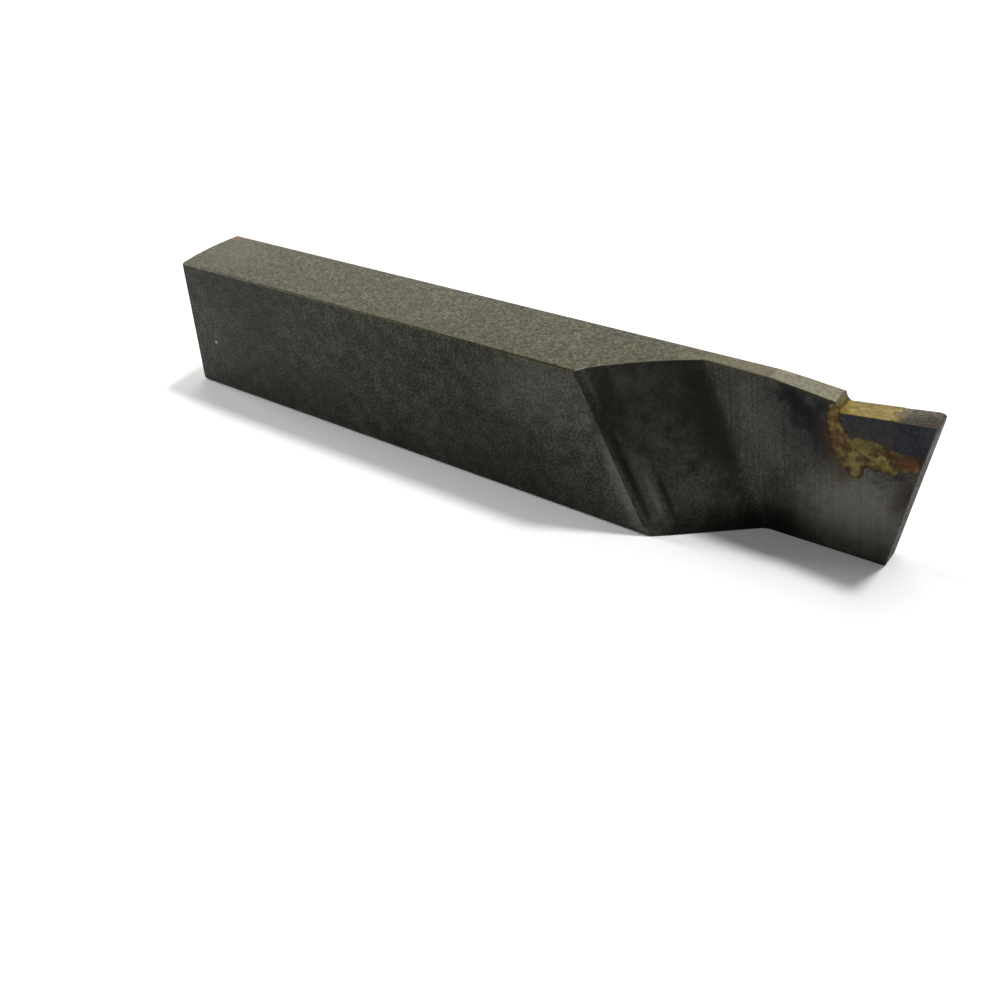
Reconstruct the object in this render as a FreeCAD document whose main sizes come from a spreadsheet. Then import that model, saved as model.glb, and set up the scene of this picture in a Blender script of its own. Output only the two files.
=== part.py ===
import FreeCAD, Part
import math
import os
import Sketcher

os.makedirs("parts", exist_ok=True)
doc = FreeCAD.newDocument("parting_tool")

# Frame: X runs from the butt end to the cutting edge, Y from the near side to the far side, Z up from
# the base. The origin is under the middle of the bar. Lengths are in millimetres, angles in degrees.
# Lengths called from_edge are measured back along X from the cutting edge.
SIZES = (
    # Rolled bar with rounded long edges
    ("overall_length", 140),
    ("shank_width", 16),
    ("shank_height", 25),
    ("long_edge_radius", 0.5),
    # Butt end, cropped to a crowned face that is squarer at the base than at the top
    ("butt_radius_top", 43),
    ("butt_radius_base", 120),
    ("butt_crown_offset", 5),
    # Neck: its edge on the near side slants forward from the top to the base
    ("neck_from_edge_top", 49.1),
    ("neck_from_edge_base", 36),
    ("neck_facet_depth", 1.9),
    ("neck_facet_run_top", 0.9),
    ("neck_facet_run_base", 2.6),
    ("neck_face_bow_top", 0.6),
    ("neck_root_radius", 3),
    # Blade: its length from the neck root and its widths, measured from the far side of the bar
    ("blade_length_top", 34.6),
    ("blade_length_base", 21.7),
    ("blade_root_width_top", 3.15),
    ("blade_root_width_base", 4.35),
    ("cutting_width", 4.8),
    ("blade_foot_width", 4.05),
    # Top of the blade, ground down towards the step behind the tip
    ("ramp_from_edge", 24),
    ("ramp_drop", 0.95),
    # Cutting tip and its seat
    ("cutting_edge_drop", 0.6),
    ("rake_angle", 8),
    ("clearance_angle", 8),
    ("tip_length", 13.1),
    ("tip_thickness", 5.5),
    ("seat_wall_lean", 21),
    # Filler metal: the layer in the joint, the fillet and skin on top, and the run on the near side
    ("joint_gap", 0.2),
    ("fillet_rise", 1.25),
    ("fillet_reach", 1.1),
    ("fillet_bow", 0.3),
    ("skin_thickness", 0.12),
    ("bare_rake_length", 5.7),
    ("run_thickness", 0.15),
    ("run_behind_wall", 1.1),
    ("run_ahead_of_wall", 0.8),
    ("run_above_seat", 0.5),
    ("run_below_seat", 2.6),
    ("drip_start_drop", 1.7),
    ("drip_length", 5.2),
    ("drip_bow", 2.2),
    # How far blanks and cutting outlines reach past the finished surfaces
    ("overrun", 2),
)

sheet = doc.addObject("Spreadsheet::Sheet", "Sizes")
for row, (alias, value) in enumerate(SIZES, start=1):
    sheet.set(f"A{row}", alias)
    sheet.set(f"B{row}", str(value))
    sheet.setAlias(f"B{row}", alias)
doc.recompute()

# Places that several pieces share, as expressions on the sheet
EDGE_X = "Sizes.overall_length / 2"
EDGE_Z = "(Sizes.shank_height - Sizes.cutting_edge_drop)"
NEAR_Y = "-Sizes.shank_width / 2"
FAR_Y = "Sizes.shank_width / 2"
PAST_FRONT_X = f"({EDGE_X} + Sizes.overrun)"
TIP_BASE_Z = f"({EDGE_Z} - Sizes.tip_thickness)"
SEAT_Z = f"({TIP_BASE_Z} - Sizes.joint_gap)"
RAMP_END_Z = "(Sizes.shank_height - Sizes.ramp_drop)"


def rake_z(from_edge):
    """Height of the rake face at a distance behind the cutting edge."""
    return f"({EDGE_Z} - ({from_edge}) * tan(Sizes.rake_angle))"


def front_x(z):
    """Place of the front clearance face at a height."""
    return f"({EDGE_X} - ({EDGE_Z} - ({z})) * tan(Sizes.clearance_angle))"


TIP_REAR_Z = rake_z("Sizes.tip_length")


def tip_rear_x(z):
    """Place of the tip's leaning rear face at a height."""
    return f"({EDGE_X} - Sizes.tip_length + ({TIP_REAR_Z} - ({z})) * tan(Sizes.seat_wall_lean))"


def wall_x(z):
    """Place of the steel wall behind the tip, one joint gap away from the tip's rear face."""
    return f"({tip_rear_x(z)} - Sizes.joint_gap / cos(Sizes.seat_wall_lean))"


def bow_radius(start, finish, bow):
    """Radius of the arc from start to finish whose middle stands off their chord by bow."""
    chord_squared = f"(({finish[0]} - ({start[0]}))^2 + ({finish[1]} - ({start[1]}))^2)"
    return f"({chord_squared} / (8 * {bow}) + {bow} / 2)"


def new_body(name):
    body = doc.addObject("PartDesign::Body", name)
    body.Label = name
    return body


def new_sketch(body, name, role, lift=None):
    """Sketch on one of the body's own origin planes, raised along the plane's normal by lift."""
    sketch = body.newObject("Sketcher::SketchObject", f"{body.Name}_{name}")
    plane = next(part for part in body.Origin.OriginFeatures if part.Role == role)
    sketch.AttachmentSupport = [(plane, "")]
    sketch.MapMode = "FlatFace"
    if lift:
        sketch.setExpression("AttachmentOffset.Base.z", lift)
    return sketch


def hold(sketch, kind, geometry, point, expression):
    """Adds a coordinate or radius constraint and binds it to the sheet."""
    value = sketch.evalExpression(expression)
    if kind == "Radius":
        index = sketch.addConstraint(Sketcher.Constraint(kind, geometry, value))
    else:
        index = sketch.addConstraint(Sketcher.Constraint(kind, geometry, point, value))
    sketch.setExpression(f"Constraints[{index}]", expression)


def draw_outline(sketch, corners, arcs=None):
    """Closed outline through corners, each an (x, y) pair of expressions.

    arcs maps the number of the corner where a side starts to the radius of an arc in its place. The arc
    bulges to the left of its run, or to the right where the radius expression starts with a minus sign.
    """
    arcs = arcs or {}
    spots = [FreeCAD.Vector(*(sketch.evalExpression(c) for c in corner), 0) for corner in corners]
    ends = []
    for number, start in enumerate(spots):
        finish = spots[(number + 1) % len(spots)]
        if number not in arcs:
            side = sketch.addGeometry(Part.LineSegment(start, finish))
            ends.append((side, 1, 2))
            continue
        radius = sketch.evalExpression(arcs[number])
        chord = finish - start
        rise = abs(radius) - math.sqrt(radius**2 - chord.Length**2 / 4)
        left = FreeCAD.Vector(-chord.y, chord.x, 0).normalize()
        middle = (start + finish) / 2 + left * math.copysign(rise, radius)
        side = sketch.addGeometry(Part.Arc(start, middle, finish))
        runs_forward = sketch.getPoint(side, 1).distanceToPoint(start) < rise
        ends.append((side, 1, 2) if runs_forward else (side, 2, 1))
    for number, (side, first, last) in enumerate(ends):
        following, following_first, _ = ends[(number + 1) % len(ends)]
        sketch.addConstraint(Sketcher.Constraint("Coincident", side, last, following, following_first))
        hold(sketch, "DistanceX", side, first, corners[number][0])
        hold(sketch, "DistanceY", side, first, corners[number][1])
        if number in arcs:
            hold(sketch, "Radius", side, None, arcs[number].lstrip("-"))


def pad_across(body, name, corners, arcs=None):
    """Side outline padded over the whole width of the bar."""
    sketch = new_sketch(body, f"{name}_outline", "XZ_Plane")
    draw_outline(sketch, corners, arcs)
    pad = body.newObject("PartDesign::Pad", f"{body.Name}_{name}")
    pad.Profile = sketch
    pad.SideType = "Symmetric"
    pad.setExpression("Length", "Sizes.shank_width")


def cut_across(body, name, corners):
    """Side outline cut away over more than the width of the bar."""
    sketch = new_sketch(body, f"{name}_outline", "XZ_Plane")
    draw_outline(sketch, corners)
    pocket = body.newObject("PartDesign::Pocket", f"{body.Name}_{name}")
    pocket.Profile = sketch
    pocket.SideType = "Symmetric"
    pocket.setExpression("Length", "Sizes.shank_width + 2 * Sizes.overrun")


def cut_between(body, name, base, top):
    """Material cut away between a plan outline at the base and one at the top of the bar.

    base and top are (corners, arcs) pairs. Straight lines join the two outlines.
    """
    base_sketch = new_sketch(body, f"{name}_base", "XY_Plane")
    draw_outline(base_sketch, *base)
    top_sketch = new_sketch(body, f"{name}_top", "XY_Plane", "Sizes.shank_height")
    draw_outline(top_sketch, *top)
    loft = body.newObject("PartDesign::SubtractiveLoft", f"{body.Name}_{name}")
    loft.Profile = base_sketch
    loft.Sections = [top_sketch]
    loft.Ruled = True
    return loft


def side_outline(level, tip_width, skin):
    """Plan outline of what is milled and ground away beside the blade, at the base or the top."""
    run = f"Sizes.neck_facet_run_{level}"
    neck_x = f"({EDGE_X} - Sizes.neck_from_edge_{level})"
    length = f"Sizes.blade_length_{level}"
    root_width = f"Sizes.blade_root_width_{level}"
    growth = f"({tip_width} - {root_width}) * Sizes.overrun / {length}"
    corners = [
        (f"{neck_x} - {run} * Sizes.overrun / Sizes.neck_facet_depth", f"{NEAR_Y} - Sizes.overrun"),
        (f"{neck_x} + {run}", f"{NEAR_Y} + Sizes.neck_facet_depth"),
        (f"{EDGE_X} - {length}", f"{FAR_Y} - {root_width} - {skin}"),
        (PAST_FRONT_X, f"{FAR_Y} - {tip_width} - {growth} - {skin}"),
        (PAST_FRONT_X, f"{NEAR_Y} - Sizes.overrun"),
    ]
    return corners


def cut_side(body, name, skin="0"):
    """Cuts the neck and the near side of the blade, and leaves a skin on the blade's side."""
    base = side_outline("base", "Sizes.blade_foot_width", skin)
    top = side_outline("top", "Sizes.cutting_width", skin)
    face_bow = {1: bow_radius(top[1], top[2], "Sizes.neck_face_bow_top")}
    return cut_between(body, name, (base, None), (top, face_bow))


def butt_outline(level):
    """Plan outline of what is cropped off behind the crowned butt face, at the base or the top."""
    radius = f"Sizes.butt_radius_{level}"
    end_x = f"-{EDGE_X}"
    near_reach = f"({FAR_Y} + Sizes.overrun + Sizes.butt_crown_offset)"
    far_reach = f"({FAR_Y} + Sizes.overrun - Sizes.butt_crown_offset)"
    corners = [
        (f"{end_x} + {radius} - sqrt({radius}^2 - {near_reach}^2)", f"{NEAR_Y} - Sizes.overrun"),
        (f"{end_x} + {radius} - sqrt({radius}^2 - {far_reach}^2)", f"{FAR_Y} + Sizes.overrun"),
        (f"{end_x} - 2 * Sizes.overrun", f"{FAR_Y} + Sizes.overrun"),
        (f"{end_x} - 2 * Sizes.overrun", f"{NEAR_Y} - Sizes.overrun"),
    ]
    return corners, {0: radius}


def edge_joining(shape, first, last):
    """Name of the edge whose two ends lie nearest to two points."""

    def miss(edge):
        ends = [vertex.Point for vertex in edge.Vertexes]
        if len(ends) < 2:
            return math.inf
        forward = ends[0].distanceToPoint(first) + ends[1].distanceToPoint(last)
        backward = ends[0].distanceToPoint(last) + ends[1].distanceToPoint(first)
        return min(forward, backward)

    misses = [miss(edge) for edge in shape.Edges]
    return f"Edge{misses.index(min(misses)) + 1}"


# Shank: the bar's rounded section
shank = new_body("shank")
flat_half_width = "(Sizes.shank_width / 2 - Sizes.long_edge_radius)"
side_top = "(Sizes.shank_height - Sizes.long_edge_radius)"
section = new_sketch(shank, "section", "YZ_Plane")
section_corners = [
    (f"-{flat_half_width}", "0"),
    (flat_half_width, "0"),
    (FAR_Y, "Sizes.long_edge_radius"),
    (FAR_Y, side_top),
    (flat_half_width, "Sizes.shank_height"),
    (f"-{flat_half_width}", "Sizes.shank_height"),
    (NEAR_Y, side_top),
    (NEAR_Y, "Sizes.long_edge_radius"),
]
draw_outline(section, section_corners, {number: "-Sizes.long_edge_radius" for number in (1, 3, 5, 7)})
bar = shank.newObject("PartDesign::Pad", "shank_bar")
bar.Profile = section
bar.SideType = "Two sides"
bar.setExpression("Length", PAST_FRONT_X)
bar.setExpression("Length2", PAST_FRONT_X)

# Shank: front clearance, from the cutting edge down to the base
cut_across(
    shank,
    "front_clearance",
    [
        (front_x("-Sizes.overrun"), "-Sizes.overrun"),
        (f"{EDGE_X} + 2 * Sizes.overrun", "-Sizes.overrun"),
        (f"{EDGE_X} + 2 * Sizes.overrun", "Sizes.shank_height + Sizes.overrun"),
        (front_x("Sizes.shank_height + Sizes.overrun"), "Sizes.shank_height + Sizes.overrun"),
    ],
)

# Shank: ramp on top of the blade and the open seat for the tip
cut_across(
    shank,
    "tip_seat",
    [
        (f"{EDGE_X} - Sizes.ramp_from_edge", "Sizes.shank_height"),
        (wall_x(RAMP_END_Z), RAMP_END_Z),
        (wall_x(SEAT_Z), SEAT_Z),
        (PAST_FRONT_X, SEAT_Z),
        (PAST_FRONT_X, "Sizes.shank_height + Sizes.overrun"),
        (f"{EDGE_X} - Sizes.ramp_from_edge", "Sizes.shank_height + Sizes.overrun"),
    ],
)

# Shank: cropped butt end, then the neck and the blade's near side with a round root between them
cut_between(shank, "butt", butt_outline("base"), butt_outline("top"))
neck = cut_side(shank, "neck")
doc.recompute()
root_ends = []
for level, height in (("base", "0"), ("top", "Sizes.shank_height")):
    root_x = neck.evalExpression(f"{EDGE_X} - Sizes.blade_length_{level}")
    root_y = neck.evalExpression(f"{FAR_Y} - Sizes.blade_root_width_{level}")
    root_ends.append(FreeCAD.Vector(root_x, root_y, neck.evalExpression(height)))
root = shank.newObject("PartDesign::Fillet", "shank_neck_root")
root.Base = (neck, [edge_joining(neck.Shape, *root_ends)])
root.setExpression("Radius", "Sizes.neck_root_radius")

# Cutting tip: a wedge between the rake face, the seat, the leaning rear face and the front clearance
tip = new_body("carbide_tip")
pad_across(
    tip,
    "wedge",
    [
        (tip_rear_x(TIP_REAR_Z), TIP_REAR_Z),
        (tip_rear_x(TIP_BASE_Z), TIP_BASE_Z),
        (front_x(TIP_BASE_Z), TIP_BASE_Z),
        (EDGE_X, EDGE_Z),
    ],
)
cut_side(tip, "ground_side")

# Filler metal: the layer in the joint with its fillet at the step and its skin on the rake face
filler = new_body("filler_blank")
fillet_top = f"({TIP_REAR_Z} + Sizes.fillet_rise)"
skin_rear = "(Sizes.tip_length - Sizes.fillet_reach)"
fillet_foot = (f"{EDGE_X} - {skin_rear}", f"{rake_z(skin_rear)} + Sizes.skin_thickness")
fillet_head = (wall_x(fillet_top), fillet_top)
pad_across(
    filler,
    "layer",
    [
        fillet_foot,
        fillet_head,
        (f"{wall_x(fillet_top)} - Sizes.joint_gap", fillet_top),
        (f"{wall_x(SEAT_Z)} - Sizes.joint_gap", SEAT_Z),
        (front_x(SEAT_Z), SEAT_Z),
        (front_x(TIP_BASE_Z), TIP_BASE_Z),
        (f"{EDGE_X} - Sizes.bare_rake_length", TIP_BASE_Z),
        (f"{EDGE_X} - Sizes.bare_rake_length", f"{rake_z('Sizes.bare_rake_length')} + Sizes.skin_thickness"),
    ],
    {0: bow_radius(fillet_foot, fillet_head, "Sizes.fillet_bow")},
)
cut_side(filler, "ground_side")

# Filler metal: the run that came out of the joint on the near side, with a drip at its rear corner
drip_start = f"({TIP_BASE_Z} - Sizes.drip_start_drop)"
run_low = f"({TIP_BASE_Z} - Sizes.run_below_seat)"
run_high = f"({TIP_BASE_Z} + Sizes.run_above_seat)"
drip_rear = (f"({wall_x(drip_start)} - Sizes.run_behind_wall)", drip_start)
drip_front = (f"({drip_rear[0]} + Sizes.drip_length)", run_low)
pad_across(
    filler,
    "run",
    [
        drip_rear,
        drip_front,
        (front_x(run_low), run_low),
        (front_x(run_high), run_high),
        (f"{wall_x(run_high)} + Sizes.run_ahead_of_wall", run_high),
        (f"{wall_x(TIP_REAR_Z)} + Sizes.run_ahead_of_wall", TIP_REAR_Z),
        (f"{wall_x(fillet_top)} - Sizes.run_behind_wall", fillet_top),
    ],
    {0: "-" + bow_radius(drip_rear, drip_front, "Sizes.drip_bow")},
)
cut_side(filler, "run_side", "Sizes.run_thickness")

# Filler metal is only where the steel and the tip are not
around_steel = doc.addObject("Part::Cut", "filler_around_steel")
around_steel.Base = filler
around_steel.Tool = shank
braze = doc.addObject("Part::Cut", "braze_joint")
braze.Label = "braze_joint"
braze.Base = around_steel
braze.Tool = tip
doc.recompute()

# Checks: no failed object, every cut removes material, and each piece is one valid solid
for item in doc.Objects:
    if "Invalid" in item.State or "Error" in item.State:
        raise RuntimeError(f"{item.Name} failed: {item.State}")
    if item.TypeId in ("PartDesign::Pocket", "PartDesign::SubtractiveLoft"):
        if item.Shape.Volume >= item.BaseFeature.Shape.Volume:
            raise RuntimeError(f"{item.Name} removes nothing")
pieces = (shank, tip, braze)
for piece in pieces:
    shape = piece.Shape
    if shape.isNull() or not shape.isValid() or len(shape.Solids) != 1:
        raise RuntimeError(f"{piece.Label} is not one valid solid")

for piece in pieces:
    piece.Shape.exportStep(f"parts/{piece.Label}.step")
    print(piece.Label, "volume", round(piece.Shape.Volume, 2))
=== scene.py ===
import math

import bmesh
import bpy
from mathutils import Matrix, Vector


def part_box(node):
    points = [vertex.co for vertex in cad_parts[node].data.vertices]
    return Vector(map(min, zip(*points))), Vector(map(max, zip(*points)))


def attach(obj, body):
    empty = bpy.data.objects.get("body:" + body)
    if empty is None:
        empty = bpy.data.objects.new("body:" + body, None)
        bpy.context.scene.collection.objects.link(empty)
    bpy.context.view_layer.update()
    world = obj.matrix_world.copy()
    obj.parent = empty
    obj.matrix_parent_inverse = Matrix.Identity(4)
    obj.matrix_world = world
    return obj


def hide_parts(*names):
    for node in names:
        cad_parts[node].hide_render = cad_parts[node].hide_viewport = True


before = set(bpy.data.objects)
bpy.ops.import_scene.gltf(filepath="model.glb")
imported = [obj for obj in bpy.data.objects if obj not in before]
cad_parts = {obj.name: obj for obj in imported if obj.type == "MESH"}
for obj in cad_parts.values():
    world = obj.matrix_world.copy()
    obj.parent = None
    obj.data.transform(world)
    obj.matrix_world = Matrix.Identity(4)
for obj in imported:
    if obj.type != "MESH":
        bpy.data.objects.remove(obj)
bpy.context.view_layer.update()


# Shank. One steel bar of 25 x 16 mm, with a neck and a narrow blade milled out of its front end. Bar and
# neck were grit blasted after brazing, the blade was ground, and handling has worn every edge.
MM = 0.001


def edit(piece):
    """Opens one piece, and nothing else, in edit mode."""
    if bpy.context.object and bpy.context.object.mode == "EDIT":
        bpy.ops.object.mode_set(mode="OBJECT")
    bpy.ops.object.select_all(action="DESELECT")
    piece.select_set(True)
    bpy.context.view_layer.objects.active = piece
    bpy.ops.object.mode_set(mode="EDIT")


def choose(piece, kind, test):
    """Selects the verts, edges or faces of the piece in edit mode that pass the test."""
    mesh = bmesh.from_edit_mesh(piece.data)
    bpy.context.tool_settings.mesh_select_mode = [kind == name for name in ("verts", "edges", "faces")]
    bpy.ops.mesh.select_all(action="DESELECT")
    for part in getattr(mesh, kind):
        part.select_set(test(part))
    mesh.select_flush_mode()
    bmesh.update_edit_mesh(piece.data)


def joins(edge, one, other):
    """Whether the edge lies between a face that points one way and a face that points the other way."""
    normals = [face.normal for face in edge.link_faces]
    return any(a.dot(one) > 0.9 and b.dot(other) > 0.9 for a, b in (normals, normals[::-1]))


def is_outer(edge):
    """Whether the edge is a sharp outer corner, where handling wears it."""
    sharp = math.radians(35)
    return edge.is_manifold and edge.calc_face_angle_signed() > sharp


def merged_copy(node_name, piece_name):
    """Copy of a node's mesh, with its loose triangles merged into whole faces, left in edit mode."""
    piece = bpy.data.objects.new(piece_name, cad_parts[node_name].data.copy())
    bpy.context.scene.collection.objects.link(piece)
    piece.data.materials.clear()
    edit(piece)
    bpy.ops.mesh.select_all(action="SELECT")
    bpy.ops.mesh.customdata_custom_splitnormals_clear()
    bpy.ops.mesh.remove_doubles(threshold=0.001 * MM)
    bpy.ops.mesh.dissolve_limited(angle_limit=math.radians(0.3))
    bpy.ops.mesh.select_all(action="DESELECT")
    return piece


def modify(piece, kind, **settings):
    """Adds a modifier with its settings and applies it."""
    modifier = piece.modifiers.new(kind.title(), kind)
    for name, value in settings.items():
        setattr(modifier, name, value)
    bpy.ops.object.modifier_apply(modifier=modifier.name)


def linear(hex_colour):
    """Linear colour with alpha 1 from an sRGB hex value."""
    channels = [int(hex_colour[place:place + 2], 16) / 255 for place in (1, 3, 5)]
    return [c / 12.92 if c <= 0.04045 else ((c + 0.055) / 1.055) ** 2.4 for c in channels] + [1]


def add(tree, kind, inputs=None, output=None, stops=None, **settings):
    """Adds a node with its settings, values, links and colour stops, and returns one output socket."""
    node = tree.nodes.new(kind)
    for name, value in settings.items():
        setattr(node, name, value)
    for name, value in (inputs or {}).items():
        by_name = (socket for socket in node.inputs if socket.enabled and socket.name == name)
        socket = node.inputs[name] if isinstance(name, int) else next(by_name)
        if isinstance(value, bpy.types.NodeSocket):
            tree.links.new(value, socket)
        else:
            socket.default_value = value
    for number, (place, colour) in enumerate(stops or []):
        ramp = node.color_ramp.elements
        stop = ramp[number] if number < 2 else ramp.new(place)
        stop.position = place
        stop.color = colour
    shown = [socket for socket in node.outputs if socket.enabled and output in (None, socket.name)]
    return shown[0] if shown else None


def new_finish(name):
    """Empty node tree of a new material."""
    finish = bpy.data.materials.new(name)
    finish.use_nodes = True
    finish.node_tree.nodes.clear()
    return finish


def stained(tree, place, colour, tint, centre, reach, amount, ragged=2.0, lean=0.0):
    """Colour with one soft, ragged stain of another tint laid over it.

    centre and reach are in mm and lean, the stain's lean from upright, in degrees. amount is how much of
    the colour it hides, and ragged how uneven its border is. It begins just past its reach and is full
    within the inner fifth of it.
    """
    ragged_width = 1.6 * MM
    begins = 1.15
    full = 0.2
    away = add(tree, "ShaderNodeVectorMath", {0: place, 1: Vector(centre) * MM}, operation="SUBTRACT")
    turn = -math.radians(lean)
    away = add(tree, "ShaderNodeVectorRotate", {"Vector": away, "Angle": turn}, rotation_type="Y_AXIS")
    away = add(tree, "ShaderNodeVectorMath", {0: away, 1: Vector(reach) * MM}, operation="DIVIDE")
    away = add(tree, "ShaderNodeVectorMath", {0: away}, "Value", operation="LENGTH")
    border = add(tree, "ShaderNodeTexNoise", {"Vector": place, "Scale": 1 / ragged_width, "Detail": 5.0})
    border = add(tree, "ShaderNodeMath", {0: border, 1: 0.5}, operation="SUBTRACT")
    away = add(tree, "ShaderNodeMath", {0: border, 1: ragged, 2: away}, operation="MULTIPLY_ADD")
    cover = add(
        tree,
        "ShaderNodeMapRange",
        {"Value": away, "From Min": begins, "From Max": full, "To Min": 0.0, "To Max": amount},
        interpolation_type="SMOOTHSTEP",
    )
    return add(tree, "ShaderNodeMix", {"Factor": cover, "A": colour, "B": linear(tint)}, data_type="RGBA")


def metal_finish(
    name,
    tones,
    grain_width,
    grain_lift,
    roughness,
    mottle_width=3.5,
    speckle=0.7,
    lay=None,
    stains=(),
    thin=None,
    edge_shine=1.0,
):
    """Metal with a fine grain that catches the light, on a mottle of a few millimetres.

    tones are its dark, middle and light colours, and widths and lifts are in mm. speckle is the grain's
    share in them. lay is the lean from upright of its grinding lines, in degrees, where it has any. thin
    is its colour where the mesh's film attribute, its depth in mm, runs out. edge_shine is how much it
    mirrors where it is seen nearly edge on, which a film of oxide dulls.
    """
    finish = new_finish(name)
    tree = finish.node_tree
    place = add(tree, "ShaderNodeTexCoord", output="Object")
    cloud_width = 24
    cloud_share = 0.15
    grain = add(tree, "ShaderNodeTexNoise", {"Vector": place, "Scale": 1 / grain_width / MM, "Detail": 4.0})
    mottle = add(
        tree, "ShaderNodeTexNoise", {"Vector": place, "Scale": 1 / mottle_width / MM, "Detail": 6.0}
    )
    cloud = add(tree, "ShaderNodeTexNoise", {"Vector": place, "Scale": 1 / cloud_width / MM, "Detail": 2.0})
    blend = add(tree, "ShaderNodeMix", {"Factor": speckle, "A": mottle, "B": grain})
    blend = add(tree, "ShaderNodeMix", {"Factor": cloud_share, "A": blend, "B": cloud})
    height = grain
    if lay is not None:
        line_width = 0.5
        line_length = 25
        line_share = 0.3
        turn = (0, math.radians(lay), 0)
        stretch = (1, 1, line_length / line_width)
        lines = add(
            tree,
            "ShaderNodeMapping",
            {"Vector": place, "Rotation": turn, "Scale": stretch},
            vector_type="TEXTURE",
        )
        lines = add(
            tree, "ShaderNodeTexNoise", {"Vector": lines, "Scale": 1 / line_width / MM, "Detail": 3.0}
        )
        height = add(tree, "ShaderNodeMix", {"Factor": 0.5, "A": grain, "B": lines})
        blend = add(tree, "ShaderNodeMix", {"Factor": line_share, "A": blend, "B": lines})
    colour = add(
        tree,
        "ShaderNodeValToRGB",
        {"Fac": blend},
        stops=[(0.38, linear(tones[0])), (0.5, linear(tones[1])), (0.64, linear(tones[2]))],
    )
    for stain in stains:
        colour = stained(tree, place, colour, *stain)
    if thin is not None:
        # The mottle, which is about 0.5, makes the place where the film runs out uneven.
        unevenness = 0.7
        runs_out = 0.36
        hides_all = 0.6
        depth = add(tree, "ShaderNodeAttribute", output="Fac", attribute_name="film")
        depth = add(tree, "ShaderNodeMath", {0: mottle, 1: unevenness, 2: depth}, operation="MULTIPLY_ADD")
        cover = add(
            tree, "ShaderNodeMapRange", {"Value": depth, "From Min": runs_out, "From Max": hides_all}
        )
        colour = add(
            tree, "ShaderNodeMix", {"Factor": cover, "A": linear(thin), "B": colour}, data_type="RGBA"
        )
    bump = add(tree, "ShaderNodeBump", {"Height": height, "Distance": grain_lift * MM, "Strength": 1.0})
    spread = 0.12
    shine = add(
        tree,
        "ShaderNodeMapRange",
        {
            "Value": grain,
            "From Min": 0.3,
            "From Max": 0.7,
            "To Min": roughness + spread,
            "To Max": roughness - spread,
        },
    )
    surface = add(
        tree,
        "ShaderNodeBsdfPrincipled",
        {
            "Base Color": colour,
            "Metallic": 1.0,
            "Roughness": shine,
            "Specular Tint": (edge_shine, edge_shine, edge_shine, 1),
            "Normal": bump,
        },
    )
    add(tree, "ShaderNodeOutputMaterial", {"Surface": surface})
    return finish


steel = merged_copy("shank", "steel_shank")
low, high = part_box("shank")
neck_start = 20 * MM
neck_end = 48 * MM
ramp_start = 46 * MM
step_end = 60 * MM
ridge = -6.1 * MM
near = 0.05 * MM

# The cutter left a soft ridge down the neck, not a sharp crease.
ridge_width = 0.8 * MM
choose(
    steel,
    "edges",
    lambda edge: all(abs(vert.co.y - ridge) < near and vert.co.x > neck_start for vert in edge.verts),
)
bpy.ops.mesh.bevel(offset=ridge_width, segments=4, affect="EDGES")
# The near top edges have been broken with a stone.
stoned_width = 0.3 * MM
choose(steel, "edges", lambda edge: joins(edge, Vector((0, 0, 1)), Vector((0, -1, 0))))
bpy.ops.mesh.bevel(offset=stoned_width, segments=4, affect="EDGES")


def is_side_corner(edge):
    """Whether the edge is the leaning corner where the cutter came through the bar's near side."""
    on_side = all(abs(vert.co.y - low.y) < near and vert.co.x > neck_start for vert in edge.verts)
    below_top = all(vert.co.z < high.z for vert in edge.verts)
    rise = abs(edge.verts[0].co.z - edge.verts[1].co.z)
    return is_outer(edge) and on_side and below_top and rise > 2 * near


# Blasting has rounded the corner where the cutter came through the bar's side.
rounded_width = 0.9 * MM
choose(steel, "edges", is_side_corner)
bpy.ops.mesh.bevel(offset=rounded_width, segments=5, affect="EDGES")

# Grit blasting gives the flats a matt, evenly speckled dark grey. The grit marks are about 0.1 mm across,
# too fine to show, and are drawn at 0.4 mm.
blasted_steel = metal_finish(
    "blasted_steel",
    ("#1e1e1a", "#30302a", "#4a4941"),
    0.4,
    0.028,
    0.5,
    mottle_width=1.8,
    speckle=0.64,
    stains=(
        ("#6c6b62", (14, -8, 20), (13, 2, 8), 0.17, 1.2),
        # Painted highlight down the bar's side, beside the rounded corner.
        ("#7a796e", (29.5, -8, 8), (2.2, 2, 11), 0.27, 1.0, -27.6),
        ("#22221e", (-52, -8, 22), (20, 2, 9), 0.5, 1.2),
        ("#22221e", (-53, -8, 9), (15, 2, 12), 0.32, 1.2),
        ("#1c1c18", (7, -8, 6), (19, 2, 12), 0.4, 1.2),
        ("#8a8a80", (-62.9, -8, 9.7), (0.5, 1, 0.4), 1.0, 0.8),
    ),
)
# A trace of rust and old oil tans the top, and it is paler towards the tip.
tanned_steel = metal_finish(
    "tanned_steel",
    ("#19180e", "#272616", "#3c3b26"),
    0.4,
    0.035,
    0.5,
    mottle_width=1.8,
    speckle=0.6,
    stains=(
        ("#6a3a26", (-70, 8, 25), (4, 3, 3), 0.8),
        ("#403a2b", (-66, 0, 25), (14, 14, 2), 0.5),
        ("#454231", (41, 6, 25), (13, 8, 2), 0.85),
    ),
)
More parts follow.
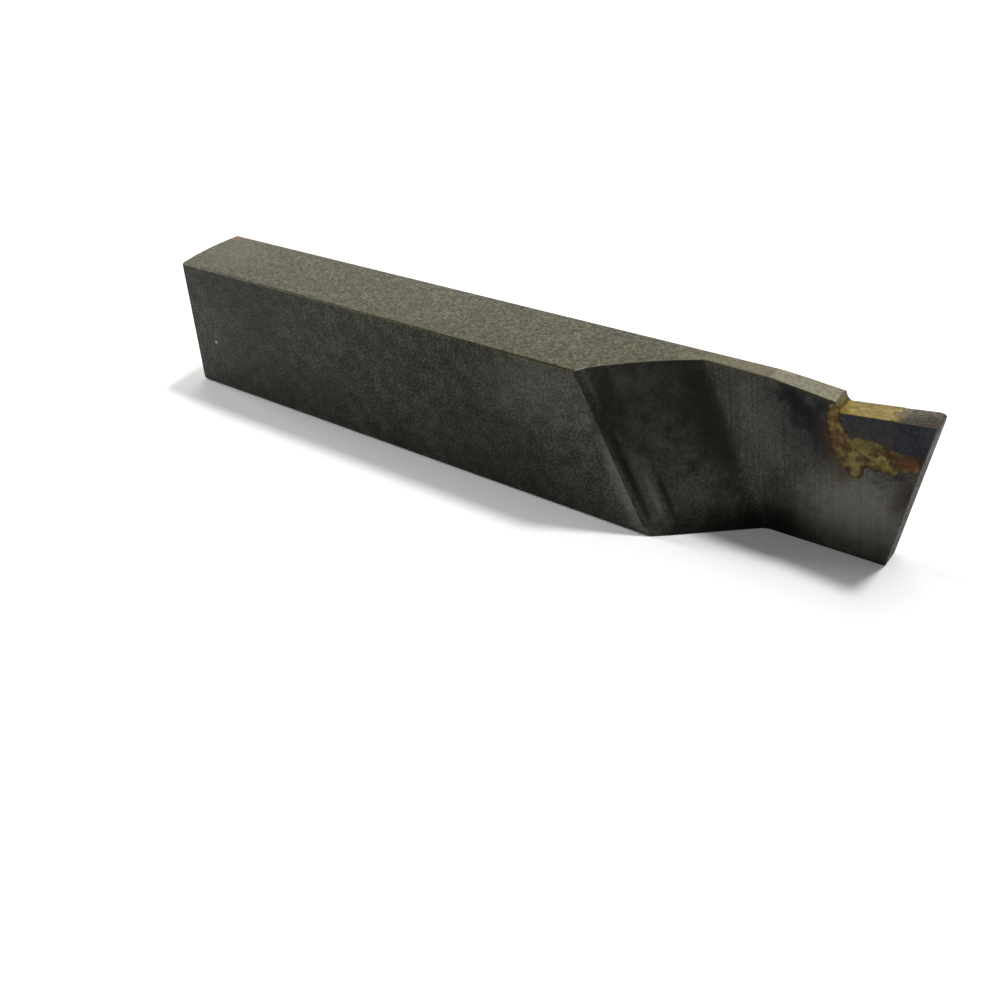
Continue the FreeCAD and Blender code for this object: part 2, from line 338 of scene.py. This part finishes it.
# The neck is duller. Painted shade darkens the neck and blade along their foot, and the neck in the root
# where it meets the blade. Two dark lines run down beside the neck's outer edge, with a bright line beside
# the lower one.
painted_foot_shade = ("#131310", (49, 3, 1), (7, 7, 5.5), 0.85, 0.6)
dull_steel = metal_finish(
    "dull_steel",
    ("#272722", "#3a3933", "#51504a"),
    0.4,
    0.03,
    0.48,
    mottle_width=2.4,
    speckle=0.6,
    stains=(
        # Painted shade in the root where the neck meets the blade.
        ("#24241f", (38.5, 3.5, 17), (4.6, 7, 17), 0.85, 0.6, -27.3),
        ("#1f1e1a", (25.6, -5, 19.5), (1.8, 4, 9), 0.55, 1.0, -27.6),
        ("#6b6a60", (32.8, -6, 7), (2.0, 4, 8), 0.12, 0.8, -28.5),
        ("#151512", (30.3, -7, 9), (0.65, 4, 12), 0.8, 0.6, -28.5),
        ("#191915", (24.4, -7.5, 19), (0.5, 4, 8), 0.6, 0.6, -27.6),
        ("#151512", (35, -5, 6), (0.5, 3, 7), 0.7, 0.6, -29.1),
        ("#84837a", (33.9, -6, 5.5), (0.5, 4, 6), 0.25, 0.6, -28.8),
        # Painted shade along the neck's foot.
        ("#0f0f0d", (43, 0, 0), (13, 14, 5), 0.8, 0.6),
        painted_foot_shade,
    ),
)
# Grinding leaves fine upright scratches on the blade. Brazing heat has turned it blue-black beside the tip,
# with brown and purple tints nearer to the joint. Painted shade darkens it in the root where it meets the
# neck, low down beside the root, and along its foot.
ground_steel = metal_finish(
    "ground_steel",
    ("#2c2b27", "#373631", "#464540"),
    0.35,
    0.02,
    0.42,
    lay=-8,
    stains=(
        ("#5c5b54", (45, 4, 18), (3.6, 4, 8), 0.15, 1.0, -27.3),
        # Painted shade in the root where the blade meets the neck.
        ("#24241f", (38.7, 4, 17), (2.0, 7, 17), 0.85, 0.8, -27.3),
        ("#7c7b71", (61, 4, 7.5), (9.5, 4, 9), 0.34, 1.0, -12),
        # Painted shade low on the blade, beside the root.
        ("#2a2a26", (49.5, 4, 7), (3, 4, 6), 0.5, 1.0, -27.3),
        ("#27272a", (52.5, 4, 18.5), (5.5, 4, 9), 0.55, 1.6, -52),
        ("#17181b", (51.3, 4, 21.8), (3.4, 4, 8), 0.95, 1.4, -52),
        ("#1c1c20", (55, 4, 18.2), (2.4, 4, 4), 0.9, 1.4),
        ("#1a1b1d", (54.2, 4, 23), (2.4, 4, 2.2), 0.9, 1.0),
        ("#382c20", (57, 4, 17.5), (3, 4, 6.5), 0.7, 1.0, -20),
        ("#26231f", (66, 4, 15.3), (1.6, 4, 1.2), 0.7, 0.8),
        ("#33292a", (67.6, 4, 12.5), (1.7, 4, 4.8), 0.8, 1.0, 20),
        painted_foot_shade,
    ),
)
# The ramp is ground a shade smoother and paler than the blasted faces.
pale_ground_steel = metal_finish(
    "pale_ground_steel",
    ("#3c3a2f", "#484639", "#555345"),
    0.5,
    0.008,
    0.42,
)
# The front relief is ground too, but brazing heat has browned it below the tip, and its film of oxide
# mirrors little where it is seen nearly edge on.
relief_steel = metal_finish(
    "relief_steel",
    ("#29281f", "#323127", "#3b3a30"),
    0.5,
    0.008,
    0.46,
    stains=(("#38271b", (69, 5, 15.5), (2, 5, 3), 0.7), ("#38291e", (68, 5, 9.5), (2, 4, 2), 0.6)),
    edge_shine=0.55,
)
# The butt end was sheared off, which smears its metal downwards in coarse streaks.
sheared_steel = metal_finish("sheared_steel", ("#2e2c28", "#3f3d37", "#565249"), 0.6, 0.05, 0.5, lay=4)
# Rubbed edges are a little brighter than the flats, and their grain is flatter.
worn_steel = metal_finish("worn_steel", ("#34332d", "#413f39", "#53524b"), 0.6, 0.01, 0.5)
# The filler has wetted the wall of the step behind the tip and left it a dull yellow.
wetted_steel = metal_finish("wetted_steel", ("#4e4421", "#685c2d", "#7d6f38"), 0.5, 0.02, 0.48)


def on_neck(face):
    """Whether the face is on the neck's slanted side."""
    return face.normal.x > 0.3 and face.normal.y < -0.2 and face.calc_center_median().x < neck_end


def on_blade_side(face):
    """Whether the face is on the near side of the blade."""
    return face.normal.y < -0.8 and face.normal.x < 0.3 and face.calc_center_median().y > 0


def on_ramp(face):
    """Whether the face is on the ramp down to the tip."""
    return face.normal.z > 0.9 and face.calc_center_median().x > ramp_start


def on_front(face):
    """Whether the face looks forwards, at the step or below the tip."""
    return face.normal.x > 0.8 and face.calc_center_median().x > ramp_start


# Each finish covers the ones before it: the last one takes the wall of the step from the relief's.
steel_faces = (
    (blasted_steel, lambda face: True),
    (tanned_steel, lambda face: face.normal.z > 0.6),
    (dull_steel, on_neck),
    (ground_steel, on_blade_side),
    (pale_ground_steel, on_ramp),
    (relief_steel, on_front),
    (sheared_steel, lambda face: face.normal.x < -0.8),
    (wetted_steel, lambda face: on_front(face) and face.calc_center_median().x < step_end),
)
for number, (finish, test) in enumerate(steel_faces):
    steel.data.materials.append(finish)
    choose(steel, "faces", test)
    steel.active_material_index = number
    bpy.ops.object.material_slot_assign()
steel.data.materials.append(worn_steel)
worn_width = 0.15 * MM
choose(steel, "edges", is_outer)
bpy.ops.mesh.bevel(
    offset=worn_width, segments=2, affect="EDGES", clamp_overlap=False, material=len(steel_faces)
)
# The widened corners are set back flush with the bar's two sides and its top.
for side in (low.y, high.y):
    choose(steel, "verts", lambda vert: abs(vert.co.y) > abs(side) and vert.co.y * side > 0)
    bpy.ops.transform.resize(value=(1, 0, 1), center_override=(0, side, 0))
choose(steel, "verts", lambda vert: vert.co.z > high.z)
bpy.ops.transform.resize(value=(1, 1, 0), center_override=(0, 0, high.z))
bpy.ops.object.mode_set(mode="OBJECT")
bpy.ops.object.shade_smooth_by_angle(angle=math.radians(30))
modify(steel, "WEIGHTED_NORMAL", mode="FACE_AREA", weight=100, keep_sharp=True)
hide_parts("shank")
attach(steel, "root")


# Cutting tip. A wedge of sintered tungsten carbide in a cobalt binder, pressed to shape and ground on its
# sides and front. Its far cutting corner is knocked off.
carbide = merged_copy("carbide_tip", "carbide_cutting_tip")
tip_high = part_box("carbide_tip")[1]
knocked_off = 1.3 * MM
corner_zone = 0.3 * MM
choose(carbide, "verts", lambda vert: (vert.co - tip_high).length < corner_zone)
bpy.ops.mesh.bevel(offset=knocked_off, segments=3, affect="VERTICES")

# Ground carbide is dark, dense and blue-grey, with a finer grain than the steel.
ground_carbide = metal_finish(
    "ground_carbide",
    ("#1c1d20", "#26272a", "#323335"),
    0.35,
    0.008,
    0.42,
    speckle=0.45,
    stains=(
        ("#3a3a37", (61.5, 3.7, 21.6), (4, 4, 2.2), 0.35),
        ("#352e25", (60, 3.7, 19.6), (6, 4, 1.6), 0.4),
    ),
)
# Spent flux has stained the rake face a flat grey-brown.
flux_stained_carbide = metal_finish(
    "flux_stained_carbide",
    ("#19140c", "#201a10", "#282114"),
    0.5,
    0.02,
    0.5,
    stains=(("#453a1c", (63.6, 6, 23.6), (2.0, 5, 2), 0.7),),
)
# The honed front and cutting edges are the palest, smoothest carbide.
honed_carbide = metal_finish(
    "honed_carbide", ("#322f2a", "#3b3932", "#46433c"), 0.5, 0.008, 0.44, edge_shine=0.55
)
carbide_faces = (
    (ground_carbide, lambda face: True),
    (flux_stained_carbide, lambda face: face.normal.z > 0.9),
    (honed_carbide, lambda face: face.normal.x > 0.5),
)
for number, (finish, test) in enumerate(carbide_faces):
    carbide.data.materials.append(finish)
    choose(carbide, "faces", test)
    carbide.active_material_index = number
    bpy.ops.object.material_slot_assign()
bpy.ops.object.mode_set(mode="OBJECT")
honed_width = 0.08 * MM
modify(
    carbide,
    "BEVEL",
    width=honed_width,
    segments=2,
    limit_method="ANGLE",
    angle_limit=math.radians(25),
    material=carbide.data.materials.find("honed_carbide"),
)
bpy.ops.object.shade_smooth_by_angle(angle=math.radians(30))
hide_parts("carbide_tip")
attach(carbide, "root")


# Brazing metal. Brass melted into the seat under and behind the tip. What ran out has frozen on the blade's
# near side as a flat, ragged run with one long drip, and as a thin skin on the back of the rake face.
braze = merged_copy("braze_joint", "brazing_metal")
# The solid's run is cut off just under the blade's near side, and the ragged one below takes its place.
blade_side = Vector((58.3, 3.83, 18.7)) * MM
blade_normal = Vector((-0.0376, -1, -0.015)).normalized()
sunk = 0.05 * MM
bpy.ops.mesh.select_all(action="SELECT")
bpy.ops.mesh.bisect(
    plane_co=blade_side - blade_normal * sunk,
    plane_no=blade_normal,
    clear_outer=True,
    use_fill=True,
    threshold=0.001 * MM,
)
# The fillet at the step is drawn in to the tight curve that the filler really has there.
wall_foot = Vector((56.66, 0, 22.645)) * MM
fillet_size = 2 * MM
tightness = 0.45
choose(
    braze,
    "verts",
    lambda vert: Vector((vert.co.x - wall_foot.x, vert.co.z - wall_foot.z)).length < fillet_size
    and vert.co.z > wall_foot.z,
)
bpy.ops.transform.resize(value=(tightness, 1, tightness), center_override=wall_foot)
# The skin on the rake face runs out to almost nothing at its front.
skin_front = Vector((64.3, 0, 23.72)) * MM
skin_depth = 0.09 * MM
choose(braze, "verts", lambda vert: math.dist(vert.co.xz, skin_front.xz) < near)
bpy.ops.transform.translate(value=(0, 0, -skin_depth))
bpy.ops.object.mode_set(mode="OBJECT")


def on_surface(start, towards):
    """Point of the tool that a ray from a start point in mm meets first."""
    start = Vector(start) * MM
    found = [piece.ray_cast(start, Vector(towards)) for piece in (steel, carbide, braze)]
    places = [place for hit, place, normal, index in found if hit]
    return min(places, key=lambda place: (place - start).length)


def frozen_flow(drops, normal, film, ripple):
    """One flat, ragged pool of metal from drops on a surface, cut off just under that surface.

    drops are pairs of a centre in metres and a radius in mm, and normal is the surface's outward
    direction. film is how far it stands out at most and ripple how uneven it is, in mm. Its film
    attribute holds how far each of its points stands out from the steel, in mm.
    """
    grid_step = 0.08 * MM
    ripple_width = 1.0 * MM
    foot_depth = 0.1 * MM
    bpy.ops.object.select_all(action="DESELECT")
    blobs = []
    for centre, radius in drops:
        flat = [1 - abs(part) * (1 - film / radius) for part in normal]
        bpy.ops.mesh.primitive_uv_sphere_add(
            segments=20, ring_count=10, radius=radius * MM, location=centre, scale=flat
        )
        blobs.append(bpy.context.object)
    for blob in blobs:
        blob.select_set(True)
    bpy.ops.object.join()
    flow = bpy.context.object
    bpy.ops.object.transform_apply()
    modify(flow, "REMESH", mode="VOXEL", voxel_size=grid_step)
    modify(flow, "SMOOTH", factor=0.5, iterations=6)
    frozen_ripple = bpy.data.textures.new("frozen_ripple", "CLOUDS")
    frozen_ripple.noise_scale = ripple_width
    modify(
        flow, "DISPLACE", texture=frozen_ripple, strength=ripple * MM, mid_level=0.5, texture_coords="LOCAL"
    )
    modify(flow, "SMOOTH", factor=0.5, iterations=2)
    edit(flow)
    bpy.ops.mesh.select_all(action="SELECT")
    bpy.ops.mesh.bisect(
        plane_co=drops[0][0] - normal * foot_depth,
        plane_no=normal,
        clear_inner=True,
        use_fill=True,
        threshold=0.001 * MM,
    )
    bpy.ops.object.mode_set(mode="OBJECT")
    depths = flow.data.attributes.new("film", "FLOAT", "POINT")
    for vert, depth in zip(flow.data.vertices, depths.data):
        place = steel.closest_point_on_mesh(vert.co)[1]
        depth.value = (vert.co - place).dot(normal) / MM
    return flow


# Each drop of the run is its place along and up the blade and its radius, and each drop of the skin its
# place along and across the rake face and its radius, all in mm.
run_drops = (
    (56.05, 22.9, 0.9), (56.05, 22.0, 1.1), (56.35, 20.9, 1.15), (56.75, 19.9, 1.3), (57.25, 18.9, 1.55),
    (57.8, 17.9, 1.75), (58.4, 17.0, 1.9), (59.2, 16.3, 1.9), (59.8, 15.3, 1.7), (60.3, 14.3, 1.3),
    (60.6, 18.0, 1.9), (62.0, 17.9, 2.0), (63.4, 17.6, 2.0), (64.5, 17.4, 2.0), (65.6, 17.7, 1.5),
    (66.8, 17.8, 1.5), (67.6, 17.9, 1.5), (61.3, 16.2, 1.1), (62.8, 16.6, 1.5), (65.4, 16.0, 0.7),
)
skin_drops = ((64.3, 4.3, 0.8), (64.5, 5.3, 0.9), (64.2, 6.3, 0.8))
rake_normal = Vector((-0.139, 0, 0.99))
run = frozen_flow(
    [(on_surface((x, -8, z), (0, 1, 0)), radius) for x, z, radius in run_drops], blade_normal, 0.22, 0.16
)
skin = frozen_flow(
    [(on_surface((x, y, 40), (0, 0, -1)), radius) for x, y, radius in skin_drops], rake_normal, 0.12, 0.04
)

# The brass in the joint and on the rake face has stayed yellow, dulled by spent flux.
brazing_brass = metal_finish(
    "brazing_brass",
    ("#403406", "#4f4208", "#5d500e"),
    0.7,
    0.006,
    0.46,
    mottle_width=1.6,
    speckle=0.35,
    stains=(
        ("#443823", (65.4, 6, 23.8), (2.2, 6, 1.4), 0.85),
        ("#38261a", (69, 3.4, 18.9), (3, 1.2, 1.6), 0.9, 0.4),
    ),
)
# The run is burnt olive and tan, orange-brown down its narrow leg and copper red at the front, and it
# fades to a brown stain where it thins out.
burnt_brass = metal_finish(
    "burnt_brass",
    ("#35281a", "#51452b", "#706740"),
    0.5,
    0.03,
    0.5,
    mottle_width=1.3,
    speckle=0.25,
    stains=(
        ("#5e4829", (56, 3.8, 21), (1.8, 1, 3.2), 0.7),
        ("#4f3a2a", (57.8, 3.8, 17.6), (2, 1, 2.6), 0.7),
        ("#67593a", (60.2, 3.6, 15.2), (2, 1, 2.2), 0.6),
        ("#4d4c2b", (61.0, 3.6, 18.7), (3, 1, 1.2), 0.6),
        ("#6d6535", (63.8, 3.6, 16.3), (1.8, 1, 1.4), 0.6),
        ("#4f3122", (67.4, 3.4, 18), (3, 1, 1.6), 0.85),
        ("#31261c", (67.6, 3.4, 19.1), (2.6, 1, 0.9), 0.85, 0.8),
    ),
    thin="#35291e",
)
run.data.materials.append(burnt_brass)
skin.data.materials.append(brazing_brass)
braze.data.materials.append(brazing_brass)
bpy.ops.object.select_all(action="DESELECT")
for part in (run, skin, braze):
    part.select_set(True)
bpy.context.view_layer.objects.active = braze
bpy.ops.object.join()
bpy.ops.object.shade_smooth_by_angle(angle=math.radians(40))
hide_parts("braze_joint")
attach(braze, "root")


# Studio. A pale floor in a white room. A lamp high on the far side throws the short shadow, a broad one
# behind the tool lights its top, one low at the butt end keeps the floor white, and a dark card beside the
# camera is reflected in the neck.
floor_size = 8
floor_gap = 0.02 * MM
bpy.ops.object.select_all(action="DESELECT")
bpy.ops.mesh.primitive_plane_add(size=floor_size, location=(0, 0, -floor_gap))
floor = bpy.context.object
floor.name = "floor"


def seen_by_camera(tree):
    """1 where the camera sees the surface, straight or in metal or glass, and 0 where it lights others."""
    path = tree.nodes.new("ShaderNodeLightPath").outputs
    seen = add(
        tree, "ShaderNodeMath", {0: path["Is Camera Ray"], 1: path["Is Glossy Ray"]}, operation="ADD"
    )
    return add(tree, "ShaderNodeMath", {0: seen, 1: path["Is Transmission Ray"]}, operation="ADD")


# Matt white paper. A trace of glow keeps its far part as white as the room.
glow_level = 0.02
pale_floor = new_finish("pale_floor")
tree = pale_floor.node_tree
matt = add(tree, "ShaderNodeBsdfDiffuse", {"Color": linear("#f1f1f4")})
glow_strength = add(tree, "ShaderNodeMath", {0: seen_by_camera(tree), 1: glow_level}, operation="MULTIPLY")
glow = add(tree, "ShaderNodeEmission", {"Color": (1, 1, 1, 1), "Strength": glow_strength})
both = add(tree, "ShaderNodeAddShader", {0: matt, 1: glow})
add(tree, "ShaderNodeOutputMaterial", {"Surface": both})
floor.data.materials.append(pale_floor)

# The room looks white and lights the tool softly.
room_light = 0.26
world = bpy.data.worlds.new("white_room")
bpy.context.scene.world = world
world.use_nodes = True
tree = world.node_tree
tree.nodes.clear()
level = add(
    tree, "ShaderNodeMapRange", {"Value": seen_by_camera(tree), "To Min": room_light, "To Max": 1.0}
)
sky = add(tree, "ShaderNodeBackground", {"Color": (1, 1, 1, 1), "Strength": level})
add(tree, "ShaderNodeOutputWorld", {"Surface": sky})

# Each lamp's name, strength, width in degrees, direction and colour.
lamps = (
    ("high_lamp", 2.1, 8, (0.19, 0.3, 0.94), (1.0, 1.0, 1.0)),
    ("back_lamp", 1.5, 60, (-0.35, 0.74, 0.5), (1.0, 0.94, 0.8)),
    ("side_lamp", 3.5, 26, (-0.95, -0.06, 0.3), (1.0, 1.0, 1.0)),
)
for name, energy, angle, towards, colour in lamps:
    lamp_data = bpy.data.lights.new(name, "SUN")
    lamp_data.energy = energy
    lamp_data.angle = math.radians(angle)
    lamp_data.color = colour
    lamp = bpy.data.objects.new(name, lamp_data)
    lamp.rotation_euler = Vector(towards).to_track_quat("Z", "Y").to_euler()
    bpy.context.scene.collection.objects.link(lamp)

# The card is dark grey paper, out of the picture, and throws no shadow.
bpy.ops.mesh.primitive_plane_add(
    size=1,
    location=(0.45, -0.45, 0.3),
    rotation=(math.radians(90), 0, math.radians(45)),
)
card = bpy.context.object
card.name = "dark_card"
card.scale = (1.0, 0.8, 1)
card.visible_camera = False
card.visible_shadow = False
grey_paper = new_finish("grey_paper")
tree = grey_paper.node_tree
paper = add(tree, "ShaderNodeBsdfDiffuse", {"Color": linear("#4a4a4a")})
add(tree, "ShaderNodeOutputMaterial", {"Surface": paper})
card.data.materials.append(grey_paper)

# The camera's lens, place and tilt were fitted to the bar's edges in the photograph.
camera_data = bpy.data.cameras.new("camera")
camera_data.sensor_width = 36
camera_data.lens = 37.795
camera_data.clip_start = 0.01
camera = bpy.data.objects.new("camera", camera_data)
camera.location = (0.09767, -0.12343, 0.09596)
camera.rotation_euler = [math.radians(angle) for angle in (56.026, 3.151, 36.455)]
bpy.context.scene.collection.objects.link(camera)
bpy.context.scene.camera = camera
bpy.context.scene.view_settings.view_transform = "Standard"
